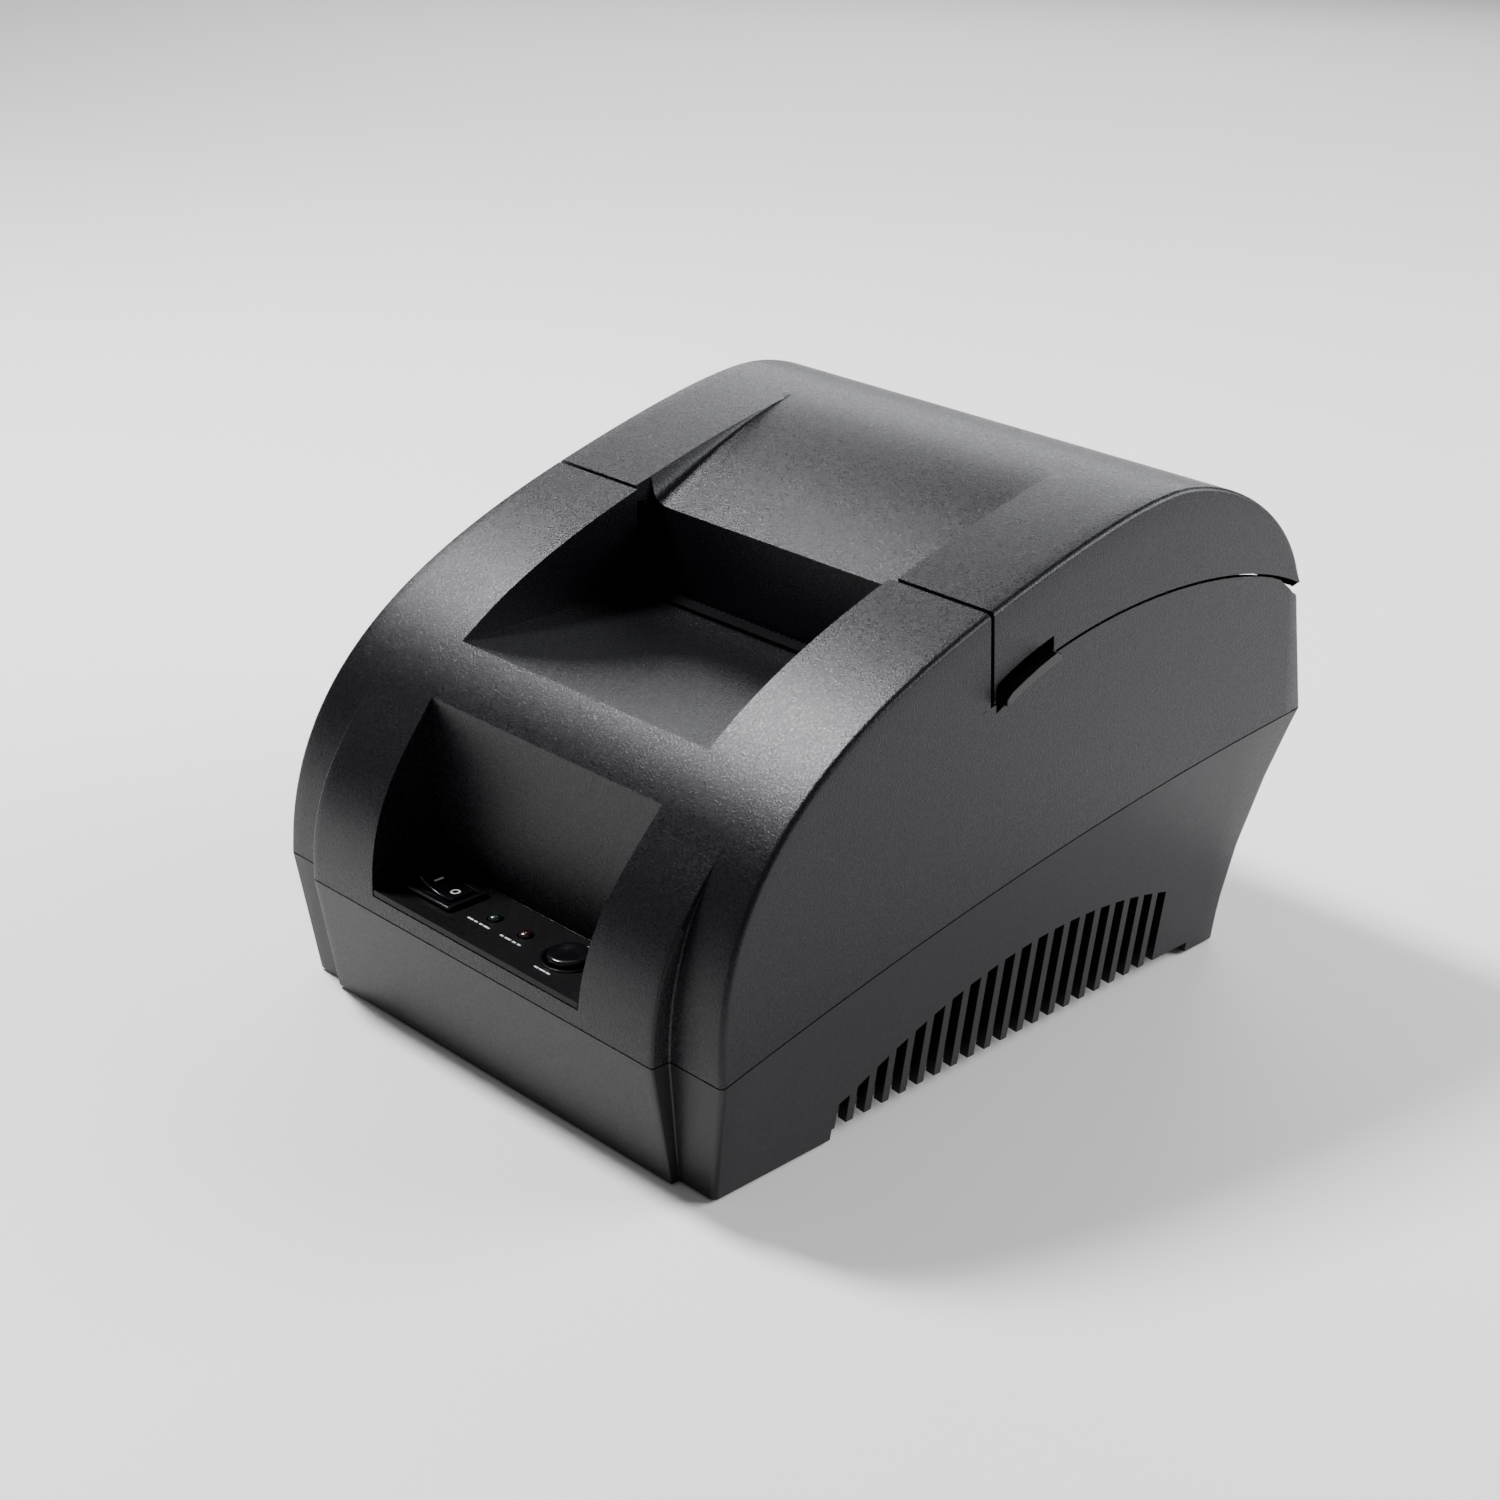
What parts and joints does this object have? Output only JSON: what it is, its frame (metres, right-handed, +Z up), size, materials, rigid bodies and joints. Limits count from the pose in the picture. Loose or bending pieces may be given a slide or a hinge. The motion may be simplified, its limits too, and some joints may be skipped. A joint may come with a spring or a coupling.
{
  "type": "receipt printer",
  "caption": "Desktop thermal receipt printer with a hinged lid over a drop-in paper roll, release levers, a geared platen drive and a recessed front control panel.",
  "frame": {"origin": "on the table under the middle of the body's bounding box", "axes": "+Y from the control panel to the back, +X to the printer's right side seen from the front, +Z up"},
  "size_m": [0.137, 0.18, 0.1132],
  "materials": {
    "textured_black": "finely textured black ABS with a soft sheen",
    "inner_black": "smooth satin black plastic",
    "gloss_black": "polished black plastic",
    "platen_rubber": "ground matte rubber",
    "foot_rubber": "moulded matte rubber",
    "steel": "plain bright steel",
    "dark_steel": "blackened steel",
    "aluminium": "plain extruded aluminium",
    "nylon": "natural white nylon",
    "head_ceramic": "glazed thermal element strip",
    "board_green": "green lacquered circuit board",
    "paper": "smooth white thermal paper",
    "cardboard": "brown card tube",
    "silver_label": "silver-grey foil label",
    "led_green": "clear green lens",
    "led_red": "clear red lens"
  },
  "bodies": {
    "case": {"base_case": "textured_black", "upper_case": "textured_black", "stepper_motor": "steel", "print_chassis": "inner_black", "chassis_screw_left": "steel", "chassis_screw_right": "steel", "head_spring": "steel", "tear_bar": "dark_steel", "paper_bin": "inner_black", "lever_pin_left": "steel", "lever_pin_right": "steel", "lever_spring_left": "steel", "lever_spring_right": "steel", "control_panel": "inner_black", "rocker_housing": "gloss_black", "main_board": "board_green", "control_board": "board_green", "feed_switch": "steel", "power_led": "led_green", "error_led": "led_red", "power_inlet": "gloss_black", "usb_socket": "steel", "drawer_socket": "inner_black", "hinge_rod": "dark_steel", "side_sticker": "paper", "foot_fl": "foot_rubber", "foot_bl": "foot_rubber", "foot_fr": "foot_rubber", "foot_br": "foot_rubber", "case_screw_fl": "steel", "case_screw_bl": "steel", "case_screw_fr": "steel", "case_screw_br": "steel", "paper_sensor": "inner_black"},
    "lid": {"lid_shell": "textured_black", "lid_label": "silver_label", "platen_carrier": "inner_black", "platen_bush_left": "nylon", "platen_bush_right": "nylon"},
    "platen": {"platen_roller": "platen_rubber", "platen_shaft": "steel", "platen_gear": "nylon"},
    "idler": {"idler_gear": "nylon"},
    "pinion": {"motor_pinion": "dark_steel"},
    "head": {"print_head": "head_ceramic", "head_heatsink": "aluminium"},
    "lever_left": {"release_lever_left": "gloss_black"},
    "lever_right": {"release_lever_right": "gloss_black"},
    "roll": {"paper_roll": "paper", "paper_core": "cardboard"},
    "rocker": {"power_rocker": "gloss_black"},
    "button": {"feed_button": "gloss_black"}
  },
  "joints": [
    {"name": "lid_hinge", "type": "hinge", "parent": "case", "child": "lid", "pos_m": [0, 0.083, 0.0762], "axis": [-1, 0, 0], "range_deg": [0, 88]},
    {"name": "platen_spin", "type": "hinge", "parent": "lid", "child": "platen", "pos_m": [0, -0.0048, 0.06875], "axis": [1, 0, 0], "continuous": true},
    {"name": "idler_spin", "type": "hinge", "parent": "case", "child": "idler", "pos_m": [0.03585, -0.0076, 0.05507], "axis": [1, 0, 0], "continuous": true},
    {"name": "motor_spin", "type": "hinge", "parent": "case", "child": "pinion", "pos_m": [0.03585, -0.01662, 0.04784], "axis": [1, 0, 0], "continuous": true},
    {"name": "head_pivot", "type": "hinge", "parent": "case", "child": "head", "pos_m": [0, -0.0129, 0.06125], "axis": [1, 0, 0], "range_deg": [0, 3], "stiffness_Nm_per_rad": 0.8},
    {"name": "lever_left_pivot", "type": "hinge", "parent": "case", "child": "lever_left", "pos_m": [-0.04975, 0.013, 0.081], "axis": [1, 0, 0], "range_deg": [0, 3], "stiffness_Nm_per_rad": 0.3},
    {"name": "lever_right_pivot", "type": "hinge", "parent": "case", "child": "lever_right", "pos_m": [0.04975, 0.013, 0.081], "axis": [1, 0, 0], "range_deg": [0, 3], "stiffness_Nm_per_rad": 0.3},
    {"name": "roll_spin", "type": "hinge", "parent": "case", "child": "roll", "pos_m": [0, 0.036, 0.0644], "axis": [1, 0, 0], "continuous": true},
    {"name": "rocker_tilt", "type": "hinge", "parent": "case", "child": "rocker", "pos_m": [-0.0209, -0.0796, 0.0322], "axis": [0, -1, 0], "range_deg": [0, 18]},
    {"name": "feed_press", "type": "slide", "parent": "case", "child": "button", "axis": [0, 0, -1], "range_m": [0, 0.0012], "stiffness_N_per_m": 400}
  ],
  "couplings": [
    {"joint": "idler_spin", "follows": "platen_spin", "ratio": -0.76923},
    {"joint": "motor_spin", "follows": "platen_spin", "ratio": 1.6667}
  ]
}
